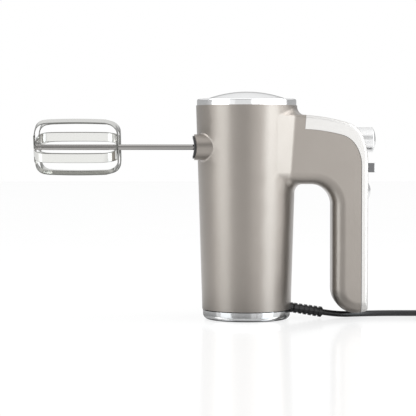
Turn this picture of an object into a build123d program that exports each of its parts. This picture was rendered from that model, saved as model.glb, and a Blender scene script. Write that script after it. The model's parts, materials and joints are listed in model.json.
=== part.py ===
from build123d import *
import math
import os

# Hand mixer that stands upright on its heel, in millimetres.
# +Z is up with Z = 0 on the table, the motor axis is the Z axis, the beaters point along -X and the
# handle is on the +X side. Left and right are the user's: left is -Y, right is +Y.

os.makedirs("parts", exist_ok=True)

# ---- body ----
WALL = 2.6
HEEL_TOP = 8.3
BODY_BOTTOM = 9.1
BODY_TOP = 191.8
BODY_BOTTOM_R = 39.9
BODY_TOP_R = 45.4
SEAM_GAP = 0.12
RING_R = 44.6
RING_STEP_R = 35.0
ROOT_FILLET = 8.0
SCREW_CIRCLE = 29.5
SCREW_R = 1.5

# ---- handle: arm, grip and the trim over their outer edge ----
SIDE_FLARE = 30.0
SIDE_DEPTH = 0.3
SIDE_CORNER = (42.3, 27.4)
SIDE_WAIST_R = 9.0
SIDE_TAPER = 7.9
SIDE_LENGTH = 92.0
SIDE_HEIGHTS = (-20.0, 230.0)
GRIP_BOTTOM = 5.8
INNER_ROUND = 11.0
OUTER_ROUND = 3.0
TRIM_GAP = 0.2

# ---- head: beaters, sockets and gears ----
HEAD_Z = 154.4
BEATER_Y = 21.0
SIDES = (("left", -BEATER_Y), ("right", BEATER_Y))
SHANK_R = 2.5
BEATER_TIP = -188.0
BEATER_ROOT = -114.0
BEATER_R = 25.5
STRIP_WIDTH = 9.0
STRIP_THICK = 1.0
SOCKET_R = 11.5
SOCKET_FILLET = 2.0
SOCKET_TIP = -47.0
SOCKET_NOSE_R = 26.0
COLLAR_PROUD = 1.4
COLLAR_R = 10.1
SPINDLE_R = 5.0
SPINDLE_FRONT, SPINDLE_BACK = -24.5, 14.5
FRONT_WALL, BACK_WALL = -22.5, 11.0
FRAME_WALL = 4.0
RUNNING_FIT = 0.05

# ---- worm drive: two starts on the worm, 24 teeth on each wheel ----
GEAR_MODULE = 1.25
WHEEL_TEETH = 24
WORM_STARTS = 2
WHEEL_PITCH_R = GEAR_MODULE * WHEEL_TEETH / 2
WORM_PITCH_R = BEATER_Y - WHEEL_PITCH_R
AXIAL_PITCH = math.pi * GEAR_MODULE
WORM_LEAD = WORM_STARTS * AXIAL_PITCH
FLANK = math.tan(math.radians(20))
WORM_BOTTOM, WORM_TOP = 143.0, 166.0
WHEEL_HALF = 4.0

# ---- motor ----
SHAFT_R = 3.0
CORE_R = 16.5
CORE_BOTTOM, CORE_TOP = 58.0, 92.0
SLOTS = 12
BRUSH_Z = 38.5
COMMUTATOR_R = 9.0
PLATE_BOTTOM, PLATE_TOP = 119.0, 123.0
TIE_X = 29.5

# ---- controls on the back of the handle ----
EJECT_Z = 161.0
EJECT_R = 11.25
EJECT_BACK, EJECT_FACE = 86.0, 113.6
PUSH_Z = 156.0
SPEED_Z = (132.0, 140.3)
SPEED_Y = -9.0
SPEED_HALF = 3.5
SPEED_TIP = 116.6
TURBO_Z = 115.0
TURBO_R = 8.9
TURBO_RISE = 3.4
BACK_X = 108.0

# ---- cord ----
CORD_R = 2.7
RELIEF_EXIT = Vector(39.9, 0.3, 10.1)
RELIEF_END = Vector(68.5, 4.4, 5.4)
RIBS = 6
RIB_WIDTH = 2.6
COIL_CENTRE = (197.0, -9.5)
COIL_MID_R = 28.0
COIL_TURN_R = COIL_MID_R + 2 * CORD_R
TAIL_START = -12.0
PLUG_X, PLUG_Z = COIL_CENTRE[0] + COIL_TURN_R, 7.2
PLUG_REAR, PLUG_FACE = -40.0, -78.0
PLUG_SLEEVE = 13.0
PIN_LENGTH = 19.0
PIN_SPACING = 18.6
PIN_R = 2.0


def save(piece, name):
    """Label a finished sub-part and write it as one STEP file."""
    piece.part.label = name
    export_step(piece.part, f"parts/{name}.step")


def across(x):
    """Plane square to the beaters' axes: its own X and Y are the mixer's Y and Z."""
    return Plane.YZ.offset(x)


def disc(x, y, z, radius, length, hole=0.0):
    """Round disc or tube along +X from the plane at x."""
    with BuildPart() as piece:
        with BuildSketch(across(x)):
            with Locations((y, z)):
                Circle(radius)
                if hole:
                    Circle(hole, mode=Mode.SUBTRACT)
        extrude(amount=length)
    return piece.part


def block(low, high):
    """Plain box between two corners."""
    size = [b - a for a, b in zip(low, high)]
    centre = [(a + b) / 2 for a, b in zip(low, high)]
    with BuildPart() as piece:
        with Locations(tuple(centre)):
            Box(*size)
    return piece.part


def turned(points):
    """Solid turned about the Z axis from an outline of (radius, height) points."""
    with BuildPart() as piece:
        with BuildSketch(Plane.XZ):
            with BuildLine():
                Polyline(*points, close=True)
            make_face()
        revolve(axis=Axis.Z)
    return piece.part


def tube(points, radii, radius):
    """Round tube along straight runs joined by tangent arcs."""
    with BuildPart() as piece:
        with BuildLine() as path:
            FilletPolyline(*points, radius=radii)
        with BuildSketch(Plane(origin=path.line @ 0, z_dir=path.line % 0)):
            Circle(radius)
        sweep()
    return piece.part


def crown_middle(radius, height):
    """Radius and height, above its rim, of a point halfway up a shallow spherical crown."""
    sphere_r = (radius ** 2 + height ** 2) / (2 * height)
    return radius / 2, math.sqrt(sphere_r ** 2 - radius ** 2 / 4) - (sphere_r - height)


def coil_spring(start, direction, length, radius, wire, turns):
    """Compression spring of round wire, turns coils over its length."""
    with BuildPart() as piece:
        with BuildLine() as path:
            Helix(pitch=(length - 2 * wire) / turns, height=length - 2 * wire, radius=radius,
                  center=Vector(*start) + Vector(*direction) * wire, direction=direction)
        with BuildSketch(Plane(origin=path.line @ 0, z_dir=path.line % 0)):
            Circle(wire)
        sweep(is_frenet=True)
    return piece.part


def ring_screws(bottom, head_z, top):
    """Four equal screws along Z on the screw circle, their heads at head_z."""
    with BuildPart() as piece:
        with PolarLocations(SCREW_CIRCLE, 4, start_angle=45):
            with Locations((0, 0, (bottom + top) / 2)):
                Cylinder(SCREW_R, top - bottom)
            with Locations((0, 0, head_z)):
                Cylinder(2.8, 2.0)
                Cylinder(1.2, 2.0 + 1e-3, mode=Mode.SUBTRACT)
    return piece


# ======================================================================================
# Outer shape of the mixer, and the same shape moved inwards for the hollow inside
# ======================================================================================

def back_outline(inset):
    """Side outline that ends the handle at the top, the back and the heel of the grip."""
    slope = Vector(1, 0).rotate(Axis.Z, -4)
    shoulder = Vector(54, 182.9) + Vector(0, -1).rotate(Axis.Z, -4) * inset
    with BuildSketch(Plane.XZ) as sketch:
        with BuildLine():
            start = shoulder - slope * 34
            top = Line((start.X, start.Y), (shoulder.X, shoulder.Y))
            arm = JernArc(top @ 1, top % 1, 160 - inset, -13)
            corner = JernArc(arm @ 1, arm % 1, 22 - inset, -51)
            neck = JernArc(corner @ 1, corner % 1, 60.4 - inset, -22)
            back = Line(neck @ 1, ((neck @ 1).X, 11.5))
            toe = JernArc(back @ 1, back % 1, 4.5 - inset, -75)
            under = Line(toe @ 1, (toe @ 1) + (toe % 1) * 45)
            Polyline(under @ 1, (start.X, (under @ 1).Y), top @ 0)
        make_face()
    return sketch.sketch


def front_outline(inset):
    """Side outline that ends the handle at the finger gap and under the grip."""
    with BuildSketch(Plane.XZ) as sketch:
        with BuildLine():
            sole = Line((130, GRIP_BOTTOM + inset), (98, GRIP_BOTTOM + inset))
            toe = JernArc(sole @ 1, sole % 1, 22 - inset, -90)
            inner = Line(toe @ 1, ((toe @ 1).X, 102.5))
            bend = JernArc(inner @ 1, inner % 1, 19 + inset, 90)
            arm = Line(bend @ 1, (20, (bend @ 1).Y))
            Polyline(arm @ 1, (20, 200), (130, 200), sole @ 0)
        make_face()
    return sketch.sketch


def body_radius(height):
    """Outer radius of the tapered body at a height."""
    return BODY_BOTTOM_R + (BODY_TOP_R - BODY_BOTTOM_R) * (height - BODY_BOTTOM) / (BODY_TOP - BODY_BOTTOM)


def side_plan(height, inset):
    """Plan of the handle at a height: a flare that leans on the round body, then a long taper."""
    flare = Vector(1, 0).rotate(Axis.Z, -SIDE_FLARE)
    taper = Vector(1, 0).rotate(Axis.Z, -SIDE_TAPER)
    start = flare.rotate(Axis.Z, 90) * (body_radius(height) - SIDE_DEPTH - inset)
    corner = Vector(*SIDE_CORNER) - taper.rotate(Axis.Z, 90) * inset
    corner = start + flare * ((corner - start).cross(taper).Z / flare.cross(taper).Z)
    turn = SIDE_FLARE - SIDE_TAPER
    radius = SIDE_WAIST_R + inset
    with BuildSketch(Plane.XY.offset(height)) as plan:
        with BuildLine():
            root = Line(start, corner - flare * radius * math.tan(math.radians(turn / 2)))
            waist = JernArc(root @ 1, root % 1, radius, turn)
            side = Line(waist @ 1, (waist @ 1) + (waist % 1) * SIDE_LENGTH)
            Polyline(side @ 1, ((side @ 1).X, 0), (start.X, 0), start)
        make_face()
        mirror(about=Plane.XZ)
    return plan.sketch


def side_slab(outline, inset):
    """The outline as a slab between the handle's two sides."""
    with BuildPart() as slab:
        extrude(outline(inset), amount=50, both=True)
        with BuildPart(mode=Mode.INTERSECT):
            loft([side_plan(height, inset) for height in SIDE_HEIGHTS])
    return slab.part


def side_edges(solid, is_kept):
    """Edges along the rim of the solid's two sides whose middle is_kept accepts."""
    sides = [f for f in solid.faces() if abs(f.normal_at().Y) > 0.85]
    rim = [e for f in sides for e in f.edges() if abs((e % 0.5).Z) < 0.98 or (e @ 0.5).X > 72]
    return [e for e in rim if is_kept(e @ 0.5, e % 0.5)]


def handle_solid(inset):
    """Arm and grip with their rounded edges, every surface moved inwards by inset."""
    with BuildPart() as front:
        add(side_slab(front_outline, inset))
        fillet(side_edges(front.part, lambda mid, _: 20.5 < mid.X < 129 and mid.Z < 199),
               INNER_ROUND - inset)
    with BuildPart() as back:
        add(side_slab(back_outline, inset))
        fillet(side_edges(back.part, lambda mid, run: mid.X > 21 and abs(run.X) < 0.999999),
               OUTER_ROUND - inset)
        add(front.part, mode=Mode.INTERSECT)
    return back.part


def body_solid(inset, low=BODY_BOTTOM, high=BODY_TOP):
    """Slightly tapered round body between two heights."""
    bottom, top = body_radius(low) - inset, body_radius(high) - inset
    return turned([(0, low), (bottom, low), (top, high), (0, high)])


def socket_post(y, radius, tip, depth=40.0):
    """Round post along a beater's axis, reaching from tip back into the body."""
    return disc(tip, y, HEAD_Z, radius, depth)


def socket_nose(y, tip, reach=20.0):
    """What has to go in front of tip, so that a post's end is curved in plan."""
    half = SOCKET_R + 0.1
    with BuildPart() as waste:
        add(block((tip - reach, y - half, HEAD_Z - half), (tip + 4, y + half, HEAD_Z + half)))
        with BuildSketch(Plane.XY.offset(HEAD_Z - 2 * half)):
            with Locations((tip + SOCKET_NOSE_R, y)):
                Circle(SOCKET_NOSE_R)
        extrude(amount=4 * half, mode=Mode.SUBTRACT)
    return waste.part


def relief_hole():
    """Round way for the strain relief through the body's wall and the heel's rim."""
    way = RELIEF_END - RELIEF_EXIT
    with BuildPart() as hole:
        with BuildSketch(Plane(origin=RELIEF_EXIT - way.normalized() * 9, z_dir=way)):
            Circle(4.85)
        extrude(amount=14)
    return hole.part


def trim_region(gap):
    """Everything outside the trim's lower edge, as a slab across the handle."""
    with BuildPart() as region:
        with BuildSketch(Plane.XZ):
            with BuildLine():
                first = JernArc((51.2 - gap, 170.5 - gap), Vector(1, 0).rotate(Axis.Z, -2),
                                147 - gap, -13)
                second = JernArc(first @ 1, first % 1, 22 - gap, -45)
                third = JernArc(second @ 1, second % 1, 35 - gap, -30)
                down = Line(third @ 1, ((third @ 1).X, -5))
                Polyline(down @ 1, (130, -5), (130, 200), (53.7 - gap, 200), first @ 0)
            make_face()
        extrude(amount=40, both=True)
    return region.part


handle = handle_solid(0)
body = body_solid(0)
with BuildPart() as outer:
    add(body)
    add(handle)
    fillet(new_edges(body, handle, combined=outer.part), ROOT_FILLET)
    plain = outer.part
    posts = [socket_post(y, SOCKET_R, SOCKET_TIP - 5) for _, y in SIDES]
    add(posts)
    fillet(new_edges(plain, *posts, combined=outer.part), SOCKET_FILLET)
    add([socket_nose(y, SOCKET_TIP) for _, y in SIDES], mode=Mode.SUBTRACT)

with BuildPart() as hollow:
    add(body_solid(WALL))
    add(handle_solid(WALL))


# ======================================================================================
# Casing
# ======================================================================================

with BuildPart() as fittings:
    for low, high in ((BODY_BOTTOM, 24), (178, BODY_TOP)):
        with PolarLocations(SCREW_CIRCLE, 4, start_angle=45):
            with Locations((0, 0, (low + high) / 2)):
                Cylinder(3.4, high - low)
            with Locations((8, 0, (low + high) / 2)):
                Box(16, 2.4, high - low)
    with Locations((0, 0, PLATE_BOTTOM - 1.5)):
        Cylinder(50, 3)
        Cylinder(38, 3, mode=Mode.SUBTRACT)
    add(block((28, -20, 110), (56, 20, 122)), mode=Mode.SUBTRACT)
    add(block((60, -30, 100), (63, 30, 190)))
    add(disc(59, 0, PUSH_Z, 6.4, 5), mode=Mode.SUBTRACT)
    add(block((59, -10, 127), (64, 10, 146)), mode=Mode.SUBTRACT)
    add(hollow.part, mode=Mode.INTERSECT)
    with PolarLocations(SCREW_CIRCLE, 4, start_angle=45):
        with Locations((0, 0, 15), (0, 0, 186)):
            Cylinder(SCREW_R, 14, mode=Mode.SUBTRACT)

with BuildPart() as shell:
    add(outer.part)
    add(hollow.part, mode=Mode.SUBTRACT)
    add([disc(SOCKET_TIP - 6, y, HEAD_Z, COLLAR_R + 0.1, 24) for _, y in SIDES], mode=Mode.SUBTRACT)
    add(trim_region(TRIM_GAP), mode=Mode.SUBTRACT)
    add(relief_hole(), mode=Mode.SUBTRACT)
    add(fittings.part)

for name, low, high in (("housing_left", -60, -SEAM_GAP / 2), ("housing_right", SEAM_GAP / 2, 60)):
    with BuildPart() as half:
        add(shell.part)
        add(block((-70, low, 0), (140, high, 210)), mode=Mode.INTERSECT)
    save(half, name)

with BuildPart() as handle_trim:
    add(outer.part)
    add(trim_region(0), mode=Mode.INTERSECT)
    add(hollow.part, mode=Mode.SUBTRACT)
    add(disc(90, 0, EJECT_Z, EJECT_R + 0.3, 25), mode=Mode.SUBTRACT)
    add(block((100, SPEED_Y - SPEED_HALF - 0.4, SPEED_Z[0] - 0.35),
              (112, -SPEED_Y + SPEED_HALF + 0.4, SPEED_Z[1] + 0.35)), mode=Mode.SUBTRACT)
    add(disc(100, 0, TURBO_Z, TURBO_R + 0.25, 12), mode=Mode.SUBTRACT)
save(handle_trim, "handle_trim")

with BuildPart() as top_ring:
    with BuildSketch(Plane.XZ):
        with BuildLine():
            wall = Polyline((RING_STEP_R, 198.2), (RING_STEP_R, 194.6), (25.5, 194.6), (25.5, BODY_TOP),
                            (RING_R, BODY_TOP), (RING_R, 196.0))
            shoulder = RadiusArc(wall @ 1, (RING_R - 1.6, 197.6), -1.6)
            Line(shoulder @ 1, wall @ 0)
        make_face()
    revolve(axis=Axis.Z)
    with PolarLocations(SCREW_CIRCLE, 4, start_angle=45):
        with Locations((0, 0, BODY_TOP)):
            Cylinder(SCREW_R + 0.2, 8, mode=Mode.SUBTRACT)
save(top_ring, "top_ring")

with BuildPart() as top_cap:
    with BuildSketch(Plane.XZ):
        with BuildLine():
            edge = Polyline((0, 202.2), (20, 200.2), (31.5, 197.4), (31.5, 196.8), (33, 196.8),
                            (33, 194.8), (RING_STEP_R - 0.4, 194.8), (RING_STEP_R - 0.4, 198.2))
            half_r, rise = crown_middle(RING_STEP_R - 0.4, 6)
            crown = ThreePointArc(edge @ 1, (half_r, 198.2 + rise), (0, 204.2))
            Line(crown @ 1, edge @ 0)
        make_face()
    revolve(axis=Axis.Z)
save(top_cap, "top_cap")

with BuildPart() as heel_cap:
    with BuildSketch(Plane.XZ):
        with BuildLine():
            base = Polyline((0, 2.4), (0, 0), (34.2, 0))
            edge = JernArc(base @ 1, (1, 0), 5, 85)
            Polyline(edge @ 1, (39.4, HEEL_TOP), (36.8, HEEL_TOP), (36.8, 2.4), base @ 0)
        make_face()
    revolve(axis=Axis.Z)
    with PolarLocations(SCREW_CIRCLE, 4, start_angle=45):
        with Locations((0, 0, (2 + BODY_BOTTOM) / 2)):
            Cylinder(4.2, BODY_BOTTOM - 2)
        with Locations((0, 0, 5)):
            Cylinder(SCREW_R + 0.2, 12, mode=Mode.SUBTRACT)
        with Locations((0, 0, 1.2)):
            Cylinder(3.1, 2.6, mode=Mode.SUBTRACT)
    with PolarLocations(19, 12, start_angle=15):
        Box(9, 2.2, 8, mode=Mode.SUBTRACT)
    add(relief_hole(), mode=Mode.SUBTRACT)
save(heel_cap, "heel_cap")

save(ring_screws(2.5, 1.5, 21), "heel_screws")
save(ring_screws(180, 195.6, 194.6), "ring_screws")

# ======================================================================================
# Motor, on the Z axis
# ======================================================================================

def sector(inner_r, outer_r, low, high, start, stop):
    """Part of a tube about the Z axis, between two angles in degrees."""
    reach = 2 * outer_r
    turns = [math.radians(start + (stop - start) * step / 3) for step in range(4)]
    with BuildPart() as piece:
        with BuildSketch(Plane.XY.offset(low)):
            with BuildLine():
                Polyline((0, 0), *[(reach * math.cos(a), reach * math.sin(a)) for a in turns],
                         close=True)
            make_face()
            Circle(outer_r, mode=Mode.INTERSECT)
            Circle(inner_r, mode=Mode.SUBTRACT)
        extrude(amount=high - low)
    return piece.part


with BuildPart() as armature_shaft:
    with Locations((0, 0, 98)):
        Cylinder(SHAFT_R, 166)
    chamfer(armature_shaft.edges(), 0.5)
save(armature_shaft, "armature_shaft")

with BuildPart() as armature_core:
    with BuildSketch(Plane.XY.offset(CORE_BOTTOM)):
        Circle(CORE_R)
        Circle(SHAFT_R, mode=Mode.SUBTRACT)
        with PolarLocations(CORE_R - 3.5, SLOTS):
            Rectangle(7.4, 2.0, mode=Mode.SUBTRACT)
    extrude(amount=CORE_TOP - CORE_BOTTOM)
save(armature_core, "armature_core")

with BuildPart() as armature_windings:
    for low in (CORE_BOTTOM - 9, CORE_TOP):
        with BuildSketch(Plane.XY.offset(low)):
            Circle(15)
            Circle(SHAFT_R, mode=Mode.SUBTRACT)
        extrude(amount=9)
    with BuildSketch(Plane.XY.offset(CORE_BOTTOM)):
        with PolarLocations(CORE_R - 4, SLOTS):
            Rectangle(6.0, 1.8)
    extrude(amount=CORE_TOP - CORE_BOTTOM)
    ends = armature_windings.edges().filter_by(GeomType.CIRCLE).filter_by(lambda e: e.radius > 14)
    fillet(ends.sort_by(Axis.Z)[0], 3)
    ends = armature_windings.edges().filter_by(GeomType.CIRCLE).filter_by(lambda e: e.radius > 14)
    fillet(ends.sort_by(Axis.Z)[-1], 3)
save(armature_windings, "armature_windings")

with BuildPart() as commutator:
    with BuildSketch(Plane.XY.offset(31)):
        Circle(COMMUTATOR_R)
        Circle(SHAFT_R, mode=Mode.SUBTRACT)
        with PolarLocations(COMMUTATOR_R, 2 * SLOTS):
            Rectangle(1.2, 0.4, mode=Mode.SUBTRACT)
    extrude(amount=15)
save(commutator, "commutator")

with BuildPart() as cooling_fan:
    with BuildSketch(Plane.XY.offset(105)):
        Circle(26.5)
        Circle(SHAFT_R, mode=Mode.SUBTRACT)
    extrude(amount=1.4)
    with BuildSketch(Plane.XY.offset(106)):
        Circle(8)
        Circle(SHAFT_R, mode=Mode.SUBTRACT)
        with PolarLocations(16.5, 9):
            with Locations(Rotation(0, 0, 18)):
                Rectangle(18, 1.2)
    extrude(amount=8.5)
save(cooling_fan, "cooling_fan")

with BuildPart() as stator_core:
    with BuildSketch(Plane.XY.offset(CORE_BOTTOM - 1)):
        Circle(33)
        Rectangle(66, 58, mode=Mode.INTERSECT)
        Circle(CORE_R + 0.9, mode=Mode.SUBTRACT)
        with Locations((-TIE_X, 0), (TIE_X, 0)):
            Circle(2.1, mode=Mode.SUBTRACT)
    extrude(amount=CORE_TOP - CORE_BOTTOM + 2)
    for turn in (0, 180):
        for first in (12, 133):
            add(sector(18.1, 25.6, CORE_BOTTOM - 2, CORE_TOP + 2, turn + first, turn + first + 35),
                mode=Mode.SUBTRACT)
save(stator_core, "stator_core")

for name, turn in (("field_coil_right", 0), ("field_coil_left", 180)):
    with BuildPart() as field_coil:
        add(sector(18.4, 25.3, CORE_BOTTOM - 8, CORE_TOP + 8, turn + 14, turn + 166))
        add(sector(17, 27, CORE_BOTTOM - 1.2, CORE_TOP + 1.2, turn + 46, turn + 134),
            mode=Mode.SUBTRACT)
    save(field_coil, name)

with BuildPart() as motor_bracket:
    with BuildSketch(Plane.XY.offset(21)):
        SlotOverall(67, 18)
    extrude(amount=4)
    with Locations((0, 0, 22.5)):
        Cylinder(9, 9)
    Cylinder(6, 100, mode=Mode.SUBTRACT)
    with Locations((-TIE_X, 0), (TIE_X, 0)):
        Cylinder(2.1, 100, mode=Mode.SUBTRACT)
save(motor_bracket, "motor_bracket")

with BuildPart() as shaft_bearings:
    for middle in (22.5, 177.5):
        with Locations((0, 0, middle)):
            Cylinder(6, 8)
            Cylinder(SHAFT_R + RUNNING_FIT, 8, mode=Mode.SUBTRACT)
save(shaft_bearings, "shaft_bearings")

with BuildPart() as motor_screws:
    with Locations((-TIE_X, 0, 70), (TIE_X, 0, 70)):
        Cylinder(2.0, 98)
    with Locations((-TIE_X, 0, 19.5), (TIE_X, 0, 19.5)):
        Cylinder(3.6, 3)
save(motor_screws, "motor_screws")

with BuildPart() as brush_plate:
    with BuildSketch(Plane.XY.offset(30)):
        Circle(34)
        Circle(12, mode=Mode.SUBTRACT)
        with Locations((-TIE_X, 0), (TIE_X, 0)):
            Circle(2.1, mode=Mode.SUBTRACT)
        with PolarLocations(25, 4, start_angle=45):
            Circle(5, mode=Mode.SUBTRACT)
    extrude(amount=3)
    with BuildSketch(Plane.XY.offset(25)):
        with Locations((-TIE_X, 0), (TIE_X, 0)):
            Circle(4)
            Circle(2.1, mode=Mode.SUBTRACT)
    extrude(amount=5)
save(brush_plate, "brush_plate")

with BuildPart() as brush_holders:
    with PolarLocations(19, 2, start_angle=90):
        with Locations((0, 0, BRUSH_Z)):
            Box(17, 8.2, 11)
            Box(20, 6.2, 8.2, mode=Mode.SUBTRACT)
        with Locations((8, 0, BRUSH_Z)):
            Box(1, 8.2, 11)
save(brush_holders, "brush_holders")

with BuildPart() as carbon_brushes:
    with PolarLocations(COMMUTATOR_R + 6.3, 2, start_angle=90):
        with Locations((0, 0, BRUSH_Z)):
            Box(12, 6, 8)
save(carbon_brushes, "carbon_brushes")

with BuildPart() as brush_springs:
    for way in (-1, 1):
        add(coil_spring((0, way * 21.5, BRUSH_Z), (0, way, 0), 4.9, 2.2, 0.35, 4))
save(brush_springs, "brush_springs")

# ======================================================================================
# Worm drive
# ======================================================================================

def polar(radius, angle):
    """Point at a radius and an angle in radians."""
    return (radius * math.cos(angle), radius * math.sin(angle))


def worm_section():
    """Cross-section of the worm at the beaters' height, its threads on the X axis."""
    tip_r = WORM_PITCH_R + GEAR_MODULE - 0.15
    root_r = WORM_PITCH_R - 1.25 * GEAR_MODULE

    def half_angle(radius):
        half = AXIAL_PITCH / 4 - 0.1 + (WORM_PITCH_R - radius) * FLANK
        return 2 * math.pi * half / WORM_LEAD

    radii = (tip_r, (tip_r + root_r) / 2, root_r)
    with BuildSketch() as sketch:
        with BuildLine():
            for start in (0, math.pi):
                up = [polar(r, start - half_angle(r)) for r in reversed(radii)]
                down = [polar(r, start + half_angle(r)) for r in radii]
                Spline(*up)
                ThreePointArc(up[-1], polar(tip_r, start), down[0])
                Spline(*down)
                ThreePointArc(down[-1], polar(root_r, start + math.pi / 2),
                              polar(root_r, start + math.pi - half_angle(root_r)))
        make_face()
    return sketch.sketch


def wheel_face(x, y, turn):
    """Toothed outline of a wheel across its axis at x, turned by an angle in degrees."""
    base_r = WHEEL_PITCH_R * math.cos(math.radians(20))
    radii = (WHEEL_PITCH_R - 1.6, base_r + 0.1, WHEEL_PITCH_R, WHEEL_PITCH_R + GEAR_MODULE - 0.15)

    def involute(radius):
        pressure = math.acos(min(1, base_r / radius))
        return math.tan(pressure) - pressure

    def half_angle(radius):
        nominal = math.pi / (2 * WHEEL_TEETH) + involute(WHEEL_PITCH_R) - involute(radius)
        return nominal - 0.22 / radius

    points = []
    for tooth in range(WHEEL_TEETH):
        middle = 2 * math.pi * tooth / WHEEL_TEETH + math.radians(turn)
        points += [polar(r, middle - half_angle(r)) for r in radii]
        points += [polar(r, middle + half_angle(r)) for r in reversed(radii)]
    with BuildSketch(across(x)) as sketch:
        with BuildLine():
            Polyline(*[(y + u, HEAD_Z + v) for u, v in points], close=True)
        make_face()
    return sketch.sketch


worm_turn = 360 * (WORM_BOTTOM - HEAD_Z) / WORM_LEAD
worm_thread = Solid.extrude_linear_with_rotation(
    Rotation(0, 0, worm_turn) * worm_section().face().moved(Location((0, 0, WORM_BOTTOM))),
    (0, 0, WORM_BOTTOM), (0, 0, WORM_TOP - WORM_BOTTOM), 360 * (WORM_TOP - WORM_BOTTOM) / WORM_LEAD)
with BuildPart() as drive_worm:
    add(worm_thread)
    with Locations((0, 0, (WORM_BOTTOM + WORM_TOP) / 2)):
        Cylinder(SHAFT_R, 30, mode=Mode.SUBTRACT)
save(drive_worm, "drive_worm")

wheel_twist = math.degrees(WORM_LEAD / (2 * math.pi * WORM_PITCH_R) / WHEEL_PITCH_R)
for side, y in SIDES:
    toothed = Solid.extrude_linear_with_rotation(
        wheel_face(-WHEEL_HALF, y, -wheel_twist * WHEEL_HALF).face(), (-WHEEL_HALF, y, HEAD_Z),
        (2 * WHEEL_HALF, 0, 0), 2 * WHEEL_HALF * wheel_twist)
    with BuildPart() as drive_wheel:
        add(toothed)
        for start in (-WHEEL_HALF, 1.5):
            add(disc(start, y, HEAD_Z, 12.2, 2.5, hole=8.5), mode=Mode.SUBTRACT)
        add(disc(-9, y, HEAD_Z, 8.0, 18))
        add(disc(-10, y, HEAD_Z, SPINDLE_R, 20), mode=Mode.SUBTRACT)
    save(drive_wheel, f"drive_wheel_{side}")

    with BuildPart() as spindle:
        add(disc(SPINDLE_FRONT, y, HEAD_Z, SPINDLE_R, SPINDLE_BACK - SPINDLE_FRONT))
        add(disc(-17.9, y, HEAD_Z, 6.6, 1.6))
        add(disc(-30, y, HEAD_Z, SHANK_R + RUNNING_FIT, 50), mode=Mode.SUBTRACT)
        add(block((SPINDLE_FRONT - 1, y - 0.85, HEAD_Z - 8), (-21, y + 0.85, HEAD_Z + 8)),
            mode=Mode.SUBTRACT)
    save(spindle, f"spindle_{side}")

    with BuildPart() as ejector_rod:
        add(disc(2.4, y, HEAD_Z, SHANK_R - RUNNING_FIT, 20))
        add(disc(22, y, HEAD_Z, 4, 2))
    save(ejector_rod, f"ejector_rod_{side}")

with BuildPart() as spindle_bushes:
    for start in (FRONT_WALL, BACK_WALL):
        for _, y in SIDES:
            add(disc(start, y, HEAD_Z, 7, FRAME_WALL, hole=SPINDLE_R + RUNNING_FIT))
save(spindle_bushes, "spindle_bushes")

with BuildPart() as gearbox_frame:
    with Locations((0, 0, (PLATE_BOTTOM + PLATE_TOP) / 2)):
        Cylinder(39.6, PLATE_TOP - PLATE_BOTTOM)
        Cylinder(8, 10, mode=Mode.SUBTRACT)
        with Locations((-TIE_X, 0), (TIE_X, 0)):
            Cylinder(1.9, 10, mode=Mode.SUBTRACT)
        with Locations((39.5, 0)):
            Box(10, 20, 10, mode=Mode.SUBTRACT)
        with PolarLocations(28, 4, start_angle=45):
            Cylinder(6, 10, mode=Mode.SUBTRACT)
    for start in (FRONT_WALL, BACK_WALL):
        add(block((start, -31, PLATE_TOP), (start + FRAME_WALL, 31, 176)))
        for _, y in SIDES:
            add(disc(start, y, HEAD_Z, 7, FRAME_WALL), mode=Mode.SUBTRACT)
    add(block((FRONT_WALL, -9, 173), (BACK_WALL + FRAME_WALL, 9, 182)))
    with Locations((0, 0, 177.5)):
        Cylinder(6, 12, mode=Mode.SUBTRACT)
save(gearbox_frame, "gearbox_frame")

# ======================================================================================
# Beaters: a shank and two crossed strip loops each, and the collars that they pass
# ======================================================================================

def strip_loop(y, angle, trim):
    """Closed strip loop around a beater's shank, trim shorter at each end, at an angle from +Z."""
    turn = math.radians(angle)
    plane = Plane(origin=(0, y, HEAD_Z), x_dir=(1, 0, 0), z_dir=(0, -math.cos(turn), -math.sin(turn)))
    tip, root, end_r = BEATER_TIP + trim, BEATER_ROOT - trim, BEATER_R - 1.3
    middle = (tip + root) / 2
    with BuildPart() as loop:
        with BuildSketch(plane):
            with BuildLine():
                front = Line((tip, -end_r), (tip, end_r))
                top = ThreePointArc(front @ 1, (middle, BEATER_R), (root, end_r))
                back = Line(top @ 1, (root, -end_r))
                ThreePointArc(back @ 1, (middle, -BEATER_R), front @ 0)
            face = make_face()
            fillet(face.vertices().group_by(Axis.X)[0], 9)
            fillet(face.vertices().filter_by(lambda v: abs(v.X - root) < 0.01), 11)
            offset(amount=-STRIP_THICK, mode=Mode.SUBTRACT)
        extrude(amount=STRIP_WIDTH / 2, both=True)
        add(disc(BEATER_TIP - 5, y, HEAD_Z, SHANK_R, 100), mode=Mode.SUBTRACT)
    return loop


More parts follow.
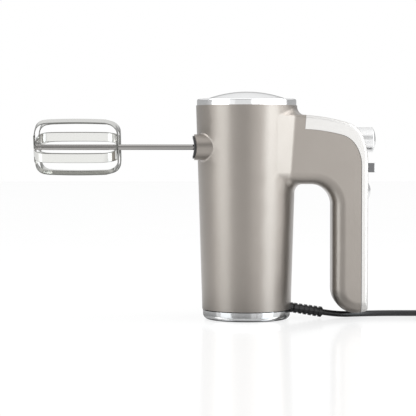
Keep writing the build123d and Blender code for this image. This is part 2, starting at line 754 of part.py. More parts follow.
for side, y in SIDES:
    with BuildPart() as beater_shank:
        add(disc(BEATER_TIP - 0.8, y, HEAD_Z, SHANK_R, 2 - BEATER_TIP + 0.8))
        chamfer(beater_shank.edges().filter_by(GeomType.CIRCLE), 0.6)
        add(block((-24.3, y - 0.75, HEAD_Z - 4.6), (-21.3, y + 0.75, HEAD_Z + 4.6)))
    save(beater_shank, f"beater_shank_{side}")
    save(strip_loop(y, 22.5, 0), f"outer_loop_{side}")
    save(strip_loop(y, 112.5, STRIP_THICK), f"inner_loop_{side}")

    with BuildPart() as collar:
        add(disc(SOCKET_TIP - 6, y, HEAD_Z, COLLAR_R, 18, hole=SHANK_R + 0.7))
        add(disc(SOCKET_TIP - 6, y, HEAD_Z, COLLAR_R - 1.9, 7.2), mode=Mode.SUBTRACT)
        add(block((SOCKET_TIP - 6, y - 1.2, HEAD_Z - 5.2), (SOCKET_TIP + 20, y + 1.2, HEAD_Z + 5.2)),
            mode=Mode.SUBTRACT)
        add(socket_nose(y, SOCKET_TIP - COLLAR_PROUD), mode=Mode.SUBTRACT)
    save(collar, f"socket_collar_{side}")

# ======================================================================================
# Eject, speed and turbo controls
# ======================================================================================

with BuildPart() as eject_button:
    with BuildSketch(Plane(origin=(0, 0, EJECT_Z), x_dir=(1, 0, 0), z_dir=(0, -1, 0))):
        with BuildLine():
            rim = Polyline((EJECT_BACK, 0), (EJECT_BACK, EJECT_R + 0.65), (EJECT_BACK + 2, EJECT_R + 0.65),
                           (EJECT_BACK + 2, EJECT_R), (EJECT_FACE - 0.8, EJECT_R))
            soft = RadiusArc(rim @ 1, (EJECT_FACE, EJECT_R - 0.8), 0.8)
            half_r, rise = crown_middle(EJECT_R - 0.8, 2.4)
            face = ThreePointArc(soft @ 1, (EJECT_FACE + rise, half_r), (EJECT_FACE + 2.4, 0))
            Line(face @ 1, rim @ 0)
        make_face()
    revolve(axis=Axis((0, 0, EJECT_Z), (1, 0, 0)))
    add(disc(EJECT_BACK, 0, EJECT_Z, 9, 24), mode=Mode.SUBTRACT)
save(eject_button, "eject_button")

with BuildPart() as ejector_yoke:
    add(block((24.3, -26, HEAD_Z - 5), (28.3, 26, HEAD_Z + 5)))
    add(block((28.3, -4, PUSH_Z - 4), (EJECT_BACK - 2, 4, PUSH_Z + 4)))
    add(disc(EJECT_BACK - 2, 0, PUSH_Z, 7.6, 2))
    add(block((EJECT_BACK, -3.5, EJECT_Z - 6), (EJECT_BACK + 24, 3.5, EJECT_Z - 1)))
save(ejector_yoke, "ejector_yoke")

with BuildPart() as eject_spring:
    add(coil_spring((63, 0, PUSH_Z), (1, 0, 0), EJECT_BACK - 2 - 63, 6.6, 0.4, 6))
save(eject_spring, "eject_spring")

with BuildPart() as speed_slider:
    add(block((103, SPEED_Y - SPEED_HALF, SPEED_Z[0]), (SPEED_TIP - 2.8, SPEED_Y + SPEED_HALF, SPEED_Z[1])))
    add(block((100, SPEED_Y - 4.5, SPEED_Z[0] - 3), (104, SPEED_Y + 4.5, SPEED_Z[1] + 3)))
save(speed_slider, "speed_slider")

with BuildPart() as speed_cap:
    add(block((SPEED_TIP - 2.8, SPEED_Y - SPEED_HALF, SPEED_Z[0]),
              (SPEED_TIP, SPEED_Y + SPEED_HALF, SPEED_Z[1])))
    fillet(speed_cap.faces().sort_by(Axis.X)[-1].edges(), 0.9)
save(speed_cap, "speed_cap")

with BuildPart() as speed_switch:
    add(block((88, -12, 126), (98.5, 12, 146)))
    chamfer(speed_switch.faces().sort_by(Axis.X)[-1].edges(), 1)
    with Locations((93, 6, 125), (93, -6, 125)):
        Box(0.8, 4, 6)
save(speed_switch, "speed_switch")

with BuildPart() as turbo_button:
    with BuildSketch(Plane(origin=(0, 0, TURBO_Z), x_dir=(1, 0, 0), z_dir=(0, -1, 0))):
        with BuildLine():
            rim = Polyline((101, 5), (101, TURBO_R + 0.9), (103, TURBO_R + 0.9), (103, TURBO_R),
                           (BACK_X + 0.3, TURBO_R))
            half_r, rise = crown_middle(TURBO_R, TURBO_RISE)
            crown = ThreePointArc(rim @ 1, (BACK_X + 0.3 + rise, half_r), (BACK_X + 0.3 + TURBO_RISE, 0))
            Polyline(crown @ 1, (105.5, 0), (105.5, 5), rim @ 0)
        make_face()
    revolve(axis=Axis((0, 0, TURBO_Z), (1, 0, 0)))
save(turbo_button, "turbo_button")

with BuildPart() as turbo_switch:
    add(block((89, -5, 107), (96, 5, 122)))
    add(disc(96, 0, TURBO_Z, 1.5, 3))
save(turbo_switch, "turbo_switch")

with BuildPart() as turbo_spring:
    add(coil_spring((96, 0, TURBO_Z), (1, 0, 0), 9.5, 3.2, 0.3, 5))
save(turbo_spring, "turbo_spring")

with BuildPart() as control_board:
    add(block((84, -12, 40), (85.6, 12, 104)))
    add(block((85.6, -10, 44), (96, 2, 60)))
    add(disc(85.6, 0, 70, 5, 12))
    add(block((85.6, -9, 80), (90, 9, 92)))
    with Locations(*[(82.9, 9, 44 + 4 * pin) for pin in range(6)]):
        Cylinder(0.5, 2.2, rotation=(0, 90, 0))
save(control_board, "control_board")

with BuildPart() as internal_wires:
    for way in (-1, 1):
        route = [(17, 4 * way, 18.4), (30, 7 * way, 18.6), (35.6, 7.5 * way, 26), (36, 7.3 * way, 118),
                 (40, 8 * way, 131), (66, 7 * way, 137), (87.5, 6 * way, 134)]
        add(tube(route, [4, 4, 16, 10, 30], 1.0))
save(internal_wires, "internal_wires")

# ======================================================================================
# Mains cord
# ======================================================================================

relief_way = (RELIEF_END - RELIEF_EXIT).normalized()
relief_length = (RELIEF_END - RELIEF_EXIT).length
with BuildPart() as strain_relief:
    with BuildSketch(Plane(origin=RELIEF_EXIT, x_dir=relief_way, z_dir=relief_way.cross(Vector(0, 0, 1)))):
        with BuildLine():
            Polyline((-7, 0), (-7, 6.0), (-5, 6.0), (-5, 4.5), (1.5, 4.5), (2.5, 3.6),
                     (relief_length, 3.6), (relief_length, 0), close=True)
        make_face()
        for rib in range(RIBS):
            along = 4.2 + rib * (relief_length - 6.4) / (RIBS - 1)
            with Locations((along, 2.2 + 0.02 * rib)):
                Rectangle(RIB_WIDTH, 4.7 + 0.04 * rib)
        with Locations((relief_length / 2, -10)):
            Rectangle(2 * relief_length, 20, mode=Mode.SUBTRACT)
    revolve(axis=Axis(RELIEF_EXIT, relief_way))
save(strain_relief, "strain_relief")

with BuildPart() as inner_cord:
    inner_end = RELIEF_EXIT - relief_way * 7
    with BuildSketch(Plane(origin=inner_end, z_dir=-relief_way)):
        Circle(CORD_R)
    extrude(amount=17)
save(inner_cord, "inner_cord")

with BuildPart() as cord_clamp:
    add(block((22, -7, 2.4), (29, 6, 17)))
    with BuildSketch(Plane(origin=inner_end, z_dir=-relief_way)):
        Circle(CORD_R)
    extrude(amount=30, mode=Mode.SUBTRACT)
save(cord_clamp, "cord_clamp")

turn_top = COIL_CENTRE[1] + COIL_TURN_R
cord_route = [RELIEF_END, Vector(83, 6.5, 3.0), Vector(103, 16.5, CORD_R), Vector(128, 21.5, CORD_R),
              Vector(158.5, 20.6, CORD_R), Vector(COIL_CENTRE[0] - 10, turn_top, CORD_R)]
runs = [b - a for a, b in zip(cord_route, cord_route[1:])]
cord_radii = [0.45 * min(a.length, b.length) / math.tan(math.radians(a.get_angle(b)) / 2)
              for a, b in zip(runs, runs[1:])]
with BuildPart() as mains_cord:
    add(tube(cord_route, cord_radii, CORD_R))
    with BuildSketch(Plane.XZ.offset(-TAIL_START)):
        with Locations((PLUG_X, PLUG_Z)):
            Circle(CORD_R)
    extrude(amount=TAIL_START - PLUG_REAR)
save(mains_cord, "mains_cord")
cord_path = sum(run.length for run in runs) + TAIL_START - PLUG_REAR
print("cord: runs", [round(run.length, 1) for run in runs], "radii", [round(r, 1) for r in cord_radii])
print("cord: volume", round(mains_cord.part.volume), "of", round(math.pi * CORD_R ** 2 * cord_path))

with BuildPart() as cord_coil:
    with BuildSketch(Plane(origin=(*COIL_CENTRE, 0), x_dir=(1, 0, 0), z_dir=(0, -1, 0))):
        with Locations((COIL_MID_R, 2 * CORD_R)):
            RectangleRounded(6 * CORD_R, 4 * CORD_R, CORD_R * 0.95)
    revolve(axis=Axis((*COIL_CENTRE, 0), (0, 0, 1)))
save(cord_coil, "cord_coil")

with BuildPart() as plug_body:
    with BuildSketch(Plane.XZ.offset(-PLUG_REAR)):
        with Locations((PLUG_X, PLUG_Z)):
            Circle(3.6)
    with BuildSketch(Plane.XZ.offset(-PLUG_REAR + PLUG_SLEEVE)):
        with Locations((PLUG_X, PLUG_Z)):
            Circle(5.6)
    loft()
    with BuildSketch(Plane.XZ.offset(-PLUG_REAR + PLUG_SLEEVE - 1)):
        with Locations((PLUG_X, PLUG_Z)):
            RectangleRounded(20, 11, 4.5)
    with BuildSketch(Plane.XZ.offset(-PLUG_FACE)):
        with Locations((PLUG_X, PLUG_Z)):
            RectangleRounded(35.3, 13.7, 5)
    loft()
save(plug_body, "plug_body")

with BuildPart() as plug_pins:
    with BuildSketch(Plane.XZ.offset(-PLUG_FACE)):
        with Locations((PLUG_X - PIN_SPACING / 2, PLUG_Z), (PLUG_X + PIN_SPACING / 2, PLUG_Z)):
            Circle(PIN_R)
    extrude(amount=PIN_LENGTH)
    chamfer(plug_pins.faces().sort_by(Axis.Y)[:2].edges(), 0.6)
save(plug_pins, "plug_pins")
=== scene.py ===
import json
import math

import bpy
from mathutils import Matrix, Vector


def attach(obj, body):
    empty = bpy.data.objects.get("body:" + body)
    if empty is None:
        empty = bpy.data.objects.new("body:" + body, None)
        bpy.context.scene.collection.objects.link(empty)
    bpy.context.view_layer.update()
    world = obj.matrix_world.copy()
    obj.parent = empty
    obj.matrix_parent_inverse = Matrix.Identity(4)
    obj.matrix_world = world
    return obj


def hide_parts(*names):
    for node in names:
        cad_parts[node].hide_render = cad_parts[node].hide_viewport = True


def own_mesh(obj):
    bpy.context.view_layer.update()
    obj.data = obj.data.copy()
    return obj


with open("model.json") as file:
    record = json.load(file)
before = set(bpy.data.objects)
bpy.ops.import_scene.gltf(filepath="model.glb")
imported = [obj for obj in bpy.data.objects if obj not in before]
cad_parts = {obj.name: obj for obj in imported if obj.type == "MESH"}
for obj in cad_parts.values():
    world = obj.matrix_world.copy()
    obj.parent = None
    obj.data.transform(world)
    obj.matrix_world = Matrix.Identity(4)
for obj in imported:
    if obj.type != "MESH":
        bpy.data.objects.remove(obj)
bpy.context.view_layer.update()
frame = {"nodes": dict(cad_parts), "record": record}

# Looks of an upright hand mixer. Metres, in the frame of the CAD model: +Z up from the table, the
# motor's axis on Z, the beaters towards -X, the handle on +X. Lengths written in millimetres are
# multiplied by MM.

scene = bpy.context.scene
MM = 0.001


# ======================================================================================
# Camera
# ======================================================================================

CAMERA_AT = Vector((-0.0347, -1.5, 0.1547))
CAMERA_DOWN = math.radians(2.1)
LENS, SENSOR = 144.2, 36.0

camera = bpy.data.objects.new("camera", bpy.data.cameras.new("camera"))
camera.data.lens = LENS
camera.data.sensor_width = SENSOR
camera.data.clip_end = 20
camera.location = CAMERA_AT
camera.rotation_euler = (math.pi / 2 - CAMERA_DOWN, 0, 0)
scene.collection.objects.link(camera)
scene.camera = camera


# ======================================================================================
# Small helpers for meshes and nodes
# ======================================================================================

def mesh_object(name, points, faces, body, replaces=()):
    """Mesh piece that rides on a body, shaded smooth, hiding the CAD nodes it replaces."""
    mesh = bpy.data.meshes.new(name)
    mesh.from_pydata([tuple(p) for p in points], [], faces)
    mesh.validate()
    mesh.shade_smooth()
    piece = bpy.data.objects.new(name, mesh)
    scene.collection.objects.link(piece)
    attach(piece, body)
    if replaces:
        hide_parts(*replaces)
    return piece


def loft(rings, closed_path=False, cap=True):
    """Points and faces of a skin through rings of equally many points."""
    count = len(rings[0])
    points = [p for ring in rings for p in ring]
    faces = []
    last = len(rings) if closed_path else len(rings) - 1
    for i in range(last):
        a, b = i * count, (i + 1) % len(rings) * count
        for j in range(count):
            k = (j + 1) % count
            faces.append((a + j, a + k, b + k, b + j))
    if cap and not closed_path:
        faces.append(tuple(reversed(range(count))))
        faces.append(tuple(range(len(points) - count, len(points))))
    return points, faces


def smoothing_group():
    """Geometry nodes that join coincident corners and keep only edges over 32 degrees sharp."""
    group = bpy.data.node_groups.new("weld_and_smooth", "GeometryNodeTree")
    group.interface.new_socket("Geometry", in_out="INPUT", socket_type="NodeSocketGeometry")
    group.interface.new_socket("Geometry", in_out="OUTPUT", socket_type="NodeSocketGeometry")
    nodes, links = group.nodes, group.links
    start, end = nodes.new("NodeGroupInput"), nodes.new("NodeGroupOutput")
    weld = nodes.new("GeometryNodeMergeByDistance")
    weld.inputs["Distance"].default_value = 1e-6
    angle = nodes.new("GeometryNodeInputMeshEdgeAngle")
    soft = nodes.new("FunctionNodeCompare")
    soft.data_type, soft.operation = "FLOAT", "LESS_THAN"
    soft.inputs[1].default_value = math.radians(32)
    faces, edges = nodes.new("GeometryNodeSetShadeSmooth"), nodes.new("GeometryNodeSetShadeSmooth")
    edges.domain = "EDGE"
    links.new(start.outputs[0], weld.inputs["Geometry"])
    links.new(weld.outputs[0], faces.inputs["Geometry"])
    links.new(faces.outputs[0], edges.inputs["Geometry"])
    links.new(angle.outputs["Unsigned Angle"], soft.inputs[0])
    links.new(soft.outputs[0], edges.inputs["Shade Smooth"])
    links.new(edges.outputs[0], end.inputs[0])
    return group


SMOOTHING = smoothing_group()


def smooth(piece):
    """Gives a piece the smoothing group and normals that follow its larger faces."""
    piece.modifiers.new("smoothing", "NODES").node_group = SMOOTHING
    normals = piece.modifiers.new("normals", "WEIGHTED_NORMAL")
    normals.keep_sharp = True
    normals.weight = 80


class Shade:
    """A procedural material being put together round one Principled shader."""

    def __init__(self, name, color, metallic=0.0, roughness=0.4, **sockets):
        self.material = bpy.data.materials.new(name)
        self.material.use_nodes = True
        self.nodes = self.material.node_tree.nodes
        self.links = self.material.node_tree.links
        self.shader = self.nodes["Principled BSDF"]
        self.color, self.roughness = color, roughness
        self.shader.inputs["Base Color"].default_value = (*color, 1)
        self.shader.inputs["Metallic"].default_value = metallic
        self.shader.inputs["Roughness"].default_value = roughness
        for socket, value in sockets.items():
            self.shader.inputs[socket.replace("_", " ")].default_value = value
        self.place = self.nodes.new("ShaderNodeTexCoord").outputs["Object"]

    def node(self, kind, **settings):
        made = self.nodes.new(kind)
        for key, value in settings.items():
            setattr(made, key, value)
        return made

    def stretched(self, scale):
        """Object coordinates stretched by a factor for each axis."""
        mapping = self.node("ShaderNodeMapping")
        mapping.inputs["Scale"].default_value = scale
        self.links.new(self.place, mapping.inputs["Vector"])
        return mapping.outputs[0]

    def noise(self, scale, detail=3.0, stretch=None):
        """Noise value, scale in waves per metre."""
        texture = self.node("ShaderNodeTexNoise")
        texture.inputs["Scale"].default_value = scale
        texture.inputs["Detail"].default_value = detail
        self.links.new(self.stretched(stretch) if stretch else self.place, texture.inputs["Vector"])
        return texture.outputs["Fac"]

    def spread(self, value, low, high, start=0.3, stop=0.7):
        """Value between start and stop spread over low to high."""
        ranged = self.node("ShaderNodeMapRange")
        for socket, number in zip(("From Min", "From Max", "To Min", "To Max"), (start, stop, low, high)):
            ranged.inputs[socket].default_value = number
        self.links.new(value, ranged.inputs["Value"])
        return ranged.outputs[0]

    def tint(self, value, other, amount=1.0):
        """Mixes the base colour so far with another colour by a value."""
        mix = self.node("ShaderNodeMix", data_type="RGBA")
        mix.inputs["B"].default_value = (*other, 1)
        base = self.shader.inputs["Base Color"]
        if base.links:
            self.links.new(base.links[0].from_socket, mix.inputs["A"])
        else:
            mix.inputs["A"].default_value = (*self.color, 1)
        self.links.new(self.spread(value, 0.0, amount), mix.inputs["Factor"])
        self.links.new(mix.outputs["Result"], base)
        return self

    def rough(self, value, swing):
        """Lets a value move the roughness by plus or minus swing."""
        self.links.new(self.spread(value, self.roughness - swing, self.roughness + swing),
                       self.shader.inputs["Roughness"])
        return self

    def bump(self, value, height, strength=1.0):
        """Adds relief of a height in metres."""
        relief = self.node("ShaderNodeBump")
        relief.inputs["Strength"].default_value = strength
        relief.inputs["Distance"].default_value = height
        self.links.new(value, relief.inputs["Height"])
        normal = self.shader.inputs["Normal"]
        if normal.links:
            self.links.new(normal.links[0].from_socket, relief.inputs["Normal"])
        self.links.new(relief.outputs[0], normal)
        return self


# ======================================================================================
# Materials
# ======================================================================================

def casing_paint():
    """Champagne metallic paint: fine flakes, slight mottling and orange peel under satin lacquer."""
    shade = Shade("champagne_paint", (0.272, 0.245, 0.219), metallic=0.92, roughness=0.36,
                  Coat_Weight=0.5, Coat_Roughness=0.28)
    shade.tint(shade.noise(5200, 2), (0.34, 0.312, 0.287), 0.55)
    shade.tint(shade.noise(40, 2), (0.252, 0.226, 0.202), 0.25)
    shade.rough(shade.noise(2600, 2), 0.035)
    shade.bump(shade.noise(900, 2), 0.00001, 0.25)
    return shade.material


def trim_paint():
    """Bright silver paint on the handle's trim."""
    shade = Shade("silver_paint", (0.575, 0.563, 0.548), metallic=0.8, roughness=0.3)
    shade.tint(shade.noise(5200, 2), (0.67, 0.658, 0.643), 0.6)
    shade.rough(shade.noise(2600, 2), 0.03)
    shade.bump(shade.noise(900, 2), 0.00001, 0.2)
    return shade.material


def chrome():
    """Bright plating with the faintest polishing haze."""
    shade = Shade("chrome_plate", (0.88, 0.885, 0.89), metallic=1.0, roughness=0.12)
    shade.tint(shade.noise(60, 3), (0.84, 0.845, 0.85), 0.5)
    shade.rough(shade.noise(350, 4), 0.025)
    return shade.material


def beater_steel(name="polished_steel", color=(0.64, 0.64, 0.62), roughness=0.1):
    """Stainless steel with fine drawing lines along the beater."""
    shade = Shade(name, color, metallic=1.0, roughness=roughness)
    lines = shade.noise(1, 4, stretch=(60, 4000, 4000))
    shade.rough(lines, 0.035)
    shade.bump(lines, 0.000004, 0.2)
    return shade.material


def moulded(name, color, roughness=0.45, grain=2500, height=0.00003, other=None):
    """Moulded plastic or rubber with a fine spark-eroded grain."""
    shade = Shade(name, color, roughness=roughness)
    lighter = other or tuple(min(1.0, c * 1.25 + 0.004) for c in color)
    shade.tint(shade.noise(grain / 3, 3), lighter, 0.8)
    shade.rough(shade.noise(grain / 2, 3), 0.06)
    shade.bump(shade.noise(grain, 2), height, 0.4)
    return shade.material


def bare_metal(name, color, roughness=0.3, stretch=(300, 300, 300), swing=0.07):
    """Machined or rolled metal whose scratches run along the least stretched axis."""
    shade = Shade(name, color, metallic=1.0, roughness=roughness)
    marks = shade.noise(1, 5, stretch=stretch)
    shade.tint(marks, tuple(c * 0.8 for c in color), 0.6)
    shade.rough(marks, swing)
    shade.bump(marks, 0.00001, 0.3)
    return shade.material


def winding():
    """Enamelled copper wire laid side by side."""
    shade = Shade("copper_winding", (0.62, 0.24, 0.09), metallic=0.9, roughness=0.3)
    wave = shade.node("ShaderNodeTexWave", bands_direction="DIAGONAL")
    wave.inputs["Scale"].default_value = 450
    wave.inputs["Distortion"].default_value = 1.5
    shade.links.new(shade.place, wave.inputs["Vector"])
    shade.tint(wave.outputs["Fac"], (0.32, 0.1, 0.04), 0.8)
    shade.rough(shade.noise(400, 2), 0.06)
    shade.bump(wave.outputs["Fac"], 0.0002, 0.6)
    return shade.material


def laminated():
    """Stack of thin steel sheets, seen as fine lines across Z."""
    shade = Shade("steel_laminations", (0.34, 0.34, 0.36), metallic=1.0, roughness=0.38)
    wave = shade.node("ShaderNodeTexWave", bands_direction="Z")
    wave.inputs["Scale"].default_value = 320
    shade.links.new(shade.place, wave.inputs["Vector"])
    shade.tint(wave.outputs["Fac"], (0.18, 0.17, 0.17), 0.8)
    shade.rough(shade.noise(300, 3), 0.08)
    shade.bump(wave.outputs["Fac"], 0.0001, 0.5)
    return shade.material


def cord_jacket():
    """Glossy black PVC jacket with a very fine drag texture."""
    shade = Shade("cord_jacket", (0.008, 0.008, 0.009), roughness=0.24, Specular_IOR_Level=0.5)
    shade.tint(shade.noise(300, 3), (0.014, 0.014, 0.015), 0.7)
    shade.rough(shade.noise(900, 3), 0.05)
    shade.bump(shade.noise(1500, 2), 0.00002, 0.2)
    return shade.material


def button_lacquer():
    """Glossy silver lacquer on the eject and turbo buttons."""
    shade = Shade("button_lacquer", (0.72, 0.72, 0.72), metallic=0.85, roughness=0.2)
    shade.tint(shade.noise(4000, 2), (0.82, 0.82, 0.82), 0.5)
    shade.rough(shade.noise(1500, 2), 0.03)
    return shade.material


# Rounded edges of the beater strips: rougher sheared steel, with a base colour darkened far below steel's
# as painted shade along the edges.
PAINTED_SHADE_EDGE = beater_steel("sheared_and_shaded_edge", (0.2, 0.2, 0.19), 0.35)
# Beater shanks: a darker copy of the beater steel, painted shade standing in for the dark reflection the
# shanks show.
PAINTED_DARK_SHANK = beater_steel("painted_dark_shank", (0.33, 0.32, 0.31), 0.06)
SLIDER_PLASTIC = moulded("slider_plastic", (0.12, 0.12, 0.122), 0.25)

FINISH = {
    "casing": casing_paint(),
    "trim": trim_paint(),
    "plated": chrome(),
    "beater": beater_steel(),
    "collar": moulded("collar_plastic", (0.016, 0.016, 0.017), 0.38),
    "screw": bare_metal("zinc_plate", (0.62, 0.63, 0.66), 0.28),
    "frame": moulded("cast_frame", (0.48, 0.48, 0.49), 0.5, grain=900, height=0.0001),
    "bearing": bare_metal("sintered_bronze", (0.55, 0.36, 0.17), 0.42, stretch=(1500, 1500, 1500)),
    "insulator": moulded("phenolic", (0.09, 0.05, 0.03), 0.42),
    "copper": winding(),
    "carbon": moulded("pressed_carbon", (0.02, 0.02, 0.021), 0.62, grain=1800),
    "lamination": laminated(),
    "steel": bare_metal("ground_steel", (0.56, 0.57, 0.59), 0.2, stretch=(900, 900, 60)),
    "gear": moulded("acetal", (0.72, 0.69, 0.6), 0.36, grain=1200),
    "spring": bare_metal("spring_steel", (0.5, 0.5, 0.52), 0.25, stretch=(800, 800, 800)),
    "inner_plastic": moulded("inner_nylon", (0.03, 0.031, 0.034), 0.5),
    "board": moulded("board_laminate", (0.01, 0.09, 0.035), 0.32, grain=700,
                     other=(0.02, 0.16, 0.06)),
    "button": button_lacquer(),
    "cable": cord_jacket(),
    "pin": bare_metal("nickelled_brass", (0.72, 0.7, 0.62), 0.18, stretch=(600, 60, 600)),
}

# The shanks get the darkened steel copy, which is painted shade.
SPECIAL = {"beater_shank_left": PAINTED_DARK_SHANK, "beater_shank_right": PAINTED_DARK_SHANK,
           "speed_slider": SLIDER_PLASTIC}


# ======================================================================================
# CAD nodes that stay: their finish and smooth shading
# ======================================================================================

for part in frame["record"]["subparts"]:
    node = frame["nodes"][part["node"]]
    node.data.materials.clear()
    node.data.materials.append(SPECIAL.get(part["node"], FINISH[part["material_slot"]]))
    smooth(node)


# ======================================================================================
# Mains cord: along the table behind the handle, then put away in a coil with its plug
# ======================================================================================

CORD_R = 2.7
RELIEF_END = (68.5, 4.4, 5.4)
COIL_CENTRE = (197.0, -9.5)
COIL_TURNS = 6.25
TURN_POINTS = 16
LAYER_Z = (CORD_R, 3 * CORD_R + 0.1)
RING_RADII = (33.4, 27.95, 22.5, 22.5, 27.95, 33.4, 33.4)
SHIFT = 80.0
INNER_DIP = 1.8
TIE_LOW, TIE_HIGH, TIE_HALF, TIE_CORNER = 0.35, 11.0, 8.6, 2.6


def coil_point(turned):
    """Centre of the cord after it has turned so many degrees clockwise from the coil's far side."""
    ring, within = divmod(turned, 360)
    ring = int(ring)
    step = max(0.0, within - (360 - SHIFT)) / SHIFT
    ease = step * step * (3 - 2 * step)
    here, after = RING_RADII[ring], RING_RADII[min(ring + 1, len(RING_RADII) - 1)]
    radius = here + (after - here) * ease
    z = LAYER_Z[0] if ring < 3 else LAYER_Z[1]
    if ring == 2:
        z += (LAYER_Z[1] - LAYER_Z[0]) * math.sin(step * math.pi / 2)
        radius -= INNER_DIP * math.sin(step * math.pi)
    radius /= math.cos(math.pi / TURN_POINTS)
    angle = math.radians(90 - turned)
    return (COIL_CENTRE[0] + radius * math.cos(angle), COIL_CENTRE[1] + radius * math.sin(angle), z)


tail_x = COIL_CENTRE[0] + RING_RADII[0]
cord_points = [RELIEF_END, (83, 6.5, 3.0), (103, 16.5, 2.7), (128, 21.5, 2.7), (158.5, 20.6, 2.7),
               (187, 23.9, 2.7)]
steps = round(COIL_TURNS * TURN_POINTS)
cord_points += [coil_point(step * 360 / TURN_POINTS) for step in range(1, steps)]
cord_points += [(tail_x, -12, 7.9), (tail_x, -22, 7.3), (tail_x, -32, 7.2), (tail_x, -40, 7.2)]

cord_curve = bpy.data.curves.new("mains_lead", "CURVE")
cord_curve.dimensions = "3D"
cord_curve.bevel_depth = CORD_R * MM
cord_curve.bevel_resolution = 6
cord_curve.resolution_u = 8
cord_curve.use_fill_caps = True
line = cord_curve.splines.new("NURBS")
line.points.add(len(cord_points) - 1)
for point, (x, y, z) in zip(line.points, cord_points):
    point.co = (x * MM, y * MM, z * MM, 1)
line.order_u = 3
line.use_endpoint_u = True
cord_curve.materials.append(FINISH["cable"])
cord = bpy.data.objects.new("mains_lead", cord_curve)
scene.collection.objects.link(cord)
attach(cord, "housing")
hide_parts("mains_cord", "cord_coil")


def coil_tie(angle, width=5.0):
    """Soft strap round the coil's bundle of turns at an angle about the coil's centre."""
    turn = math.radians(angle)
    out, along = Vector((math.cos(turn), math.sin(turn), 0)), Vector((-math.sin(turn), math.cos(turn), 0))
    middle = Vector((*COIL_CENTRE, 0)) + out * RING_RADII[1]
    rings = []
    centre_z, half_z = (TIE_LOW + TIE_HIGH) / 2, (TIE_HIGH - TIE_LOW) / 2
    for index, (sx, sz) in enumerate(((1, 1), (-1, 1), (-1, -1), (1, -1))):
        for step in range(7):
            bend = math.radians(90 * index + 15 * step)
            u = sx * (TIE_HALF - TIE_CORNER) + TIE_CORNER * math.cos(bend)
            v = sz * (half_z - TIE_CORNER) + TIE_CORNER * math.sin(bend)
            normal = out * math.cos(bend) + Vector((0, 0, 1)) * math.sin(bend)
            centre = middle + out * u + Vector((0, 0, centre_z + v))
            rings.append([(centre + along * (width / 2) * s + normal * t) * MM
                          for s, t in ((-1, 0.0), (-0.92, 0.3), (0.92, 0.3), (1, 0.0), (0.92, -0.3),
                                       (-0.92, -0.3))])
    points, faces = loft(rings, closed_path=True)
    tie = mesh_object("coil_tie", points, faces, "housing")
    tie.data.materials.append(FINISH["inner_plastic"])
    return tie


tie = coil_tie(215)


# ======================================================================================
# Beaters: finer strip loops than the CAD's
# ======================================================================================

HEAD_Z, BEATER_Y = 154.4, 21.0
BEATER_TIP, BEATER_ROOT, BEATER_R = -188.0, -114.0, 25.5
STRIP_WIDTH, STRIP_THICK = 9.0, 1.0
LOOP_BOW, ROOT_CORNER, TIP_CORNER = 1.3, 11.0, 9.5
ROOT_INSET, TIP_INSET, SIDE_END, FLAT_INSET = 0.2, 0.3, 11.5, 12.5


def loop_path(tip, root, reach):
    """Closed path round one strip loop in its own plane: (x, offset) with the outward normal."""
    flat, middle, length = reach - LOOP_BOW, (tip + root) / 2, root - tip
    path = []

    def side(sign):
        bow = ((length / 2) ** 2 + LOOP_BOW ** 2) / (2 * LOOP_BOW)
        spread = math.asin((length / 2 - SIDE_END) / bow)
        for step in range(17):
            a = -spread + 2 * spread * step / 16
            path.append((middle + sign * bow * math.sin(a), sign * (reach - bow + bow * math.cos(a)),
                         sign * math.sin(a), sign * math.cos(a)))

    def corner(x, y, radius, start, stop):
        for step in range(1, 12):
            a = math.radians(start + (stop - start) * step / 12)
            path.append((x + radius * math.cos(a), y + radius * math.sin(a), math.cos(a), math.sin(a)))

    def end(x, sign):
        for step in range(9):
            y = sign * (flat - FLAT_INSET) * (1 - step / 4)
            path.append((x, y, -sign if x < middle else sign, 0))

    root_y = flat - ROOT_CORNER + ROOT_INSET
    tip_y = flat - TIP_CORNER + TIP_INSET
    side(1)
    corner(root - ROOT_CORNER, root_y, ROOT_CORNER, 84, 0)
    end(root, 1)
    corner(root - ROOT_CORNER, -root_y, ROOT_CORNER, 0, -84)
    side(-1)
    corner(tip + TIP_CORNER, -tip_y, TIP_CORNER, -96, -180)
    end(tip, -1)
    corner(tip + TIP_CORNER, tip_y, TIP_CORNER, 180, 96)
    return path


def strip_loop(name, y, angle, trim, body):
    """Strip loop with rounded edges, in the plane at an angle from +Z about the beater's axis."""
    turn = math.radians(angle)
    radial = Vector((0, -math.sin(turn), math.cos(turn)))
    across = Vector((0, math.cos(turn), math.sin(turn)))
    origin = Vector((0, y, HEAD_Z))
    half_w, half_t = STRIP_WIDTH / 2, STRIP_THICK / 2
    edge = [(half_w - half_t + half_t * math.cos(a), half_t * math.sin(a))
            for a in [math.radians(-90 + 30 * k) for k in range(7)]]
    section = edge + [(-w, -t) for w, t in edge]
    rings = []
    for x, offset, nx, n_offset in loop_path(BEATER_TIP + trim, BEATER_ROOT - trim, BEATER_R):
        out = Vector((nx, 0, 0)) + radial * n_offset
        out.normalize()
        centre = origin + Vector((x, 0, 0)) + radial * offset - out * half_t
        rings.append([(centre + across * w + out * t) * MM for w, t in section])
    points, faces = loft(rings, closed_path=True)
    piece = mesh_object(f"{name}_strip", points, faces, body, replaces=(name,))
    piece.data.materials.append(FINISH["beater"])
    piece.data.materials.append(PAINTED_SHADE_EDGE)
    # The rounded edges get the dark edge steel (painted shade plus a rougher sheared finish); the flat
    # faces get the beater steel.
    count, round_steps = len(section), len(edge) - 1
    for face in piece.data.polygons:
        face.material_index = int(face.index % count % (round_steps + 1) < round_steps)
    smooth(piece)


for side_name, y in (("left", -BEATER_Y), ("right", BEATER_Y)):
    strip_loop(f"outer_loop_{side_name}", y, 22.5, 0.0, f"beater_{side_name}")
    strip_loop(f"inner_loop_{side_name}", y, 112.5, STRIP_THICK, f"beater_{side_name}")
